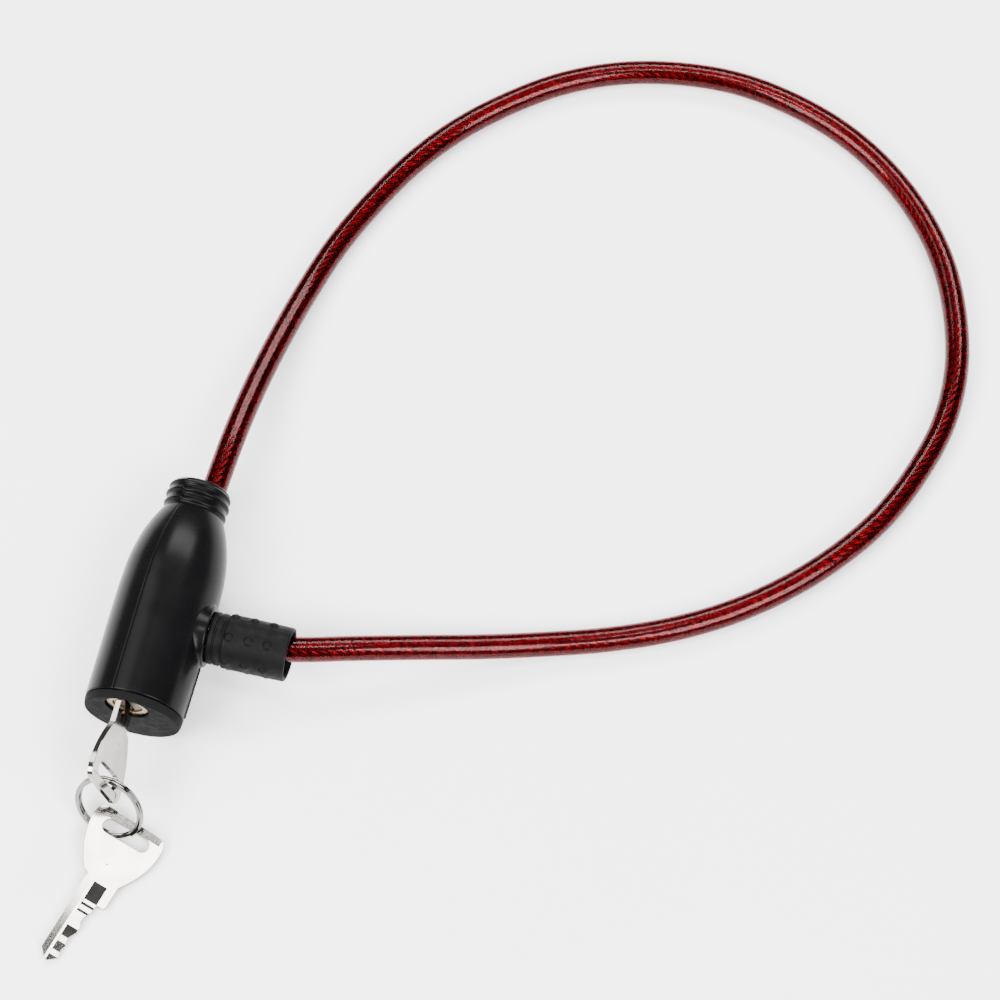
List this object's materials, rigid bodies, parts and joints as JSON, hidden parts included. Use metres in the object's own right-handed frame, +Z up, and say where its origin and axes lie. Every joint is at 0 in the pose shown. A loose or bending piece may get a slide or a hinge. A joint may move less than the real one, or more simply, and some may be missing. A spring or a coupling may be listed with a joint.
{
  "type": "cable luggage lock",
  "caption": "Keyed cable lock with a bottle-shaped black body, a plug-in steel pin on a clear red jacketed wire rope, and spare key on a split ring.",
  "frame": {"origin": "on the table the lock lies on, under the middle of the box round every piece but the cable", "axes": "+Z up from the table; +Y along the body from the keyhole face to the neck the cable leaves by; +X the way the lock pin draws out of the port"},
  "size_m": [0.2435, 0.3507, 0.0353],
  "materials": {
    "cap_grey": "matte mid grey moulding",
    "gloss_black": "gloss black moulding",
    "grip_black": "matte black with small raised dots",
    "zinc": "die-cast zinc, satin",
    "steel": "turned steel, plated",
    "spring_steel": "drawn wire",
    "brass": "satin brass, slightly dulled",
    "red_jacket": "clear red soft vinyl",
    "wire_rope": "twisted wire strands",
    "nickel": "nickel plated, brushed",
    "chrome": "bright chrome wire"
  },
  "bodies": {
    "housing": {"end_cap": "cap_grey", "shell_port_side": "gloss_black", "shell_plain_side": "gloss_black", "frame_front": "zinc", "frame_rear": "zinc", "frame_screw_1": "steel", "frame_screw_2": "steel", "lock_barrel": "brass", "port_bush": "steel", "cable_ferrule": "zinc", "cable_jacket": "red_jacket", "cable_core": "wire_rope"},
    "plug": {"cylinder_plug": "brass", "plug_clip": "spring_steel", "wafer_spring_1": "spring_steel", "wafer_spring_2": "spring_steel", "wafer_spring_3": "spring_steel", "wafer_spring_4": "spring_steel"},
    "wafer_a": {"wafer_1": "brass"},
    "wafer_b": {"wafer_2": "brass"},
    "wafer_c": {"wafer_3": "brass"},
    "wafer_d": {"wafer_4": "brass"},
    "bolt": {"latch_bolt": "steel"},
    "pin": {"lock_pin": "steel", "pin_crimp": "zinc", "grip_sleeve": "grip_black"},
    "key": {"key_1": "nickel"},
    "ring": {"split_ring": "chrome"},
    "spare_key": {"key_2": "nickel"}
  },
  "joints": [
    {"name": "key_turn", "type": "hinge", "parent": "housing", "child": "plug", "pos_m": [-0.0137, -0.00131, 0.0233], "axis": [0, -1, 0], "range_deg": [0, 90]},
    {"name": "bolt_drop", "type": "slide", "parent": "housing", "child": "bolt", "axis": [0, 0, -1], "range_m": [0, 0.0017]},
    {"name": "pin_release", "type": "slide", "parent": "housing", "child": "pin", "axis": [1, 0, 0], "range_m": [0, 0.024], "deforming": ["cable_jacket", "cable_core"]},
    {"name": "key_draw", "type": "slide", "parent": "plug", "child": "key", "axis": [0, -1, 0], "range_m": [0, 0.03]},
    {"name": "ring_swing", "type": "hinge", "parent": "key", "child": "ring", "pos_m": [-0.01275, -0.0236, 0.0195], "axis": [-0.9703, 0, -0.2419], "range_deg": [0, 100]},
    {"name": "spare_key_swing", "type": "hinge", "parent": "ring", "child": "spare_key", "pos_m": [-0.01248, -0.02897, 0.01048], "axis": [0.183, 0.847, -0.499], "range_deg": [-60, 90]},
    {"name": "wafer_1_slide", "type": "slide", "parent": "plug", "child": "wafer_a", "axis": [0.2419, 0, -0.9703], "range_m": [-0.0005, 0], "deforming": ["wafer_spring_1"]},
    {"name": "wafer_2_slide", "type": "slide", "parent": "plug", "child": "wafer_b", "axis": [0.2419, 0, -0.9703], "range_m": [-0.0005, 0], "deforming": ["wafer_spring_2"]},
    {"name": "wafer_3_slide", "type": "slide", "parent": "plug", "child": "wafer_c", "axis": [0.2419, 0, -0.9703], "range_m": [-0.0005, 0], "deforming": ["wafer_spring_3"]},
    {"name": "wafer_4_slide", "type": "slide", "parent": "plug", "child": "wafer_d", "axis": [0.2419, 0, -0.9703], "range_m": [-0.0005, 0], "deforming": ["wafer_spring_4"]}
  ],
  "couplings": [
    {"joint": "bolt_drop", "follows": "key_turn", "m_per_rad": 0.0010822}
  ]
}
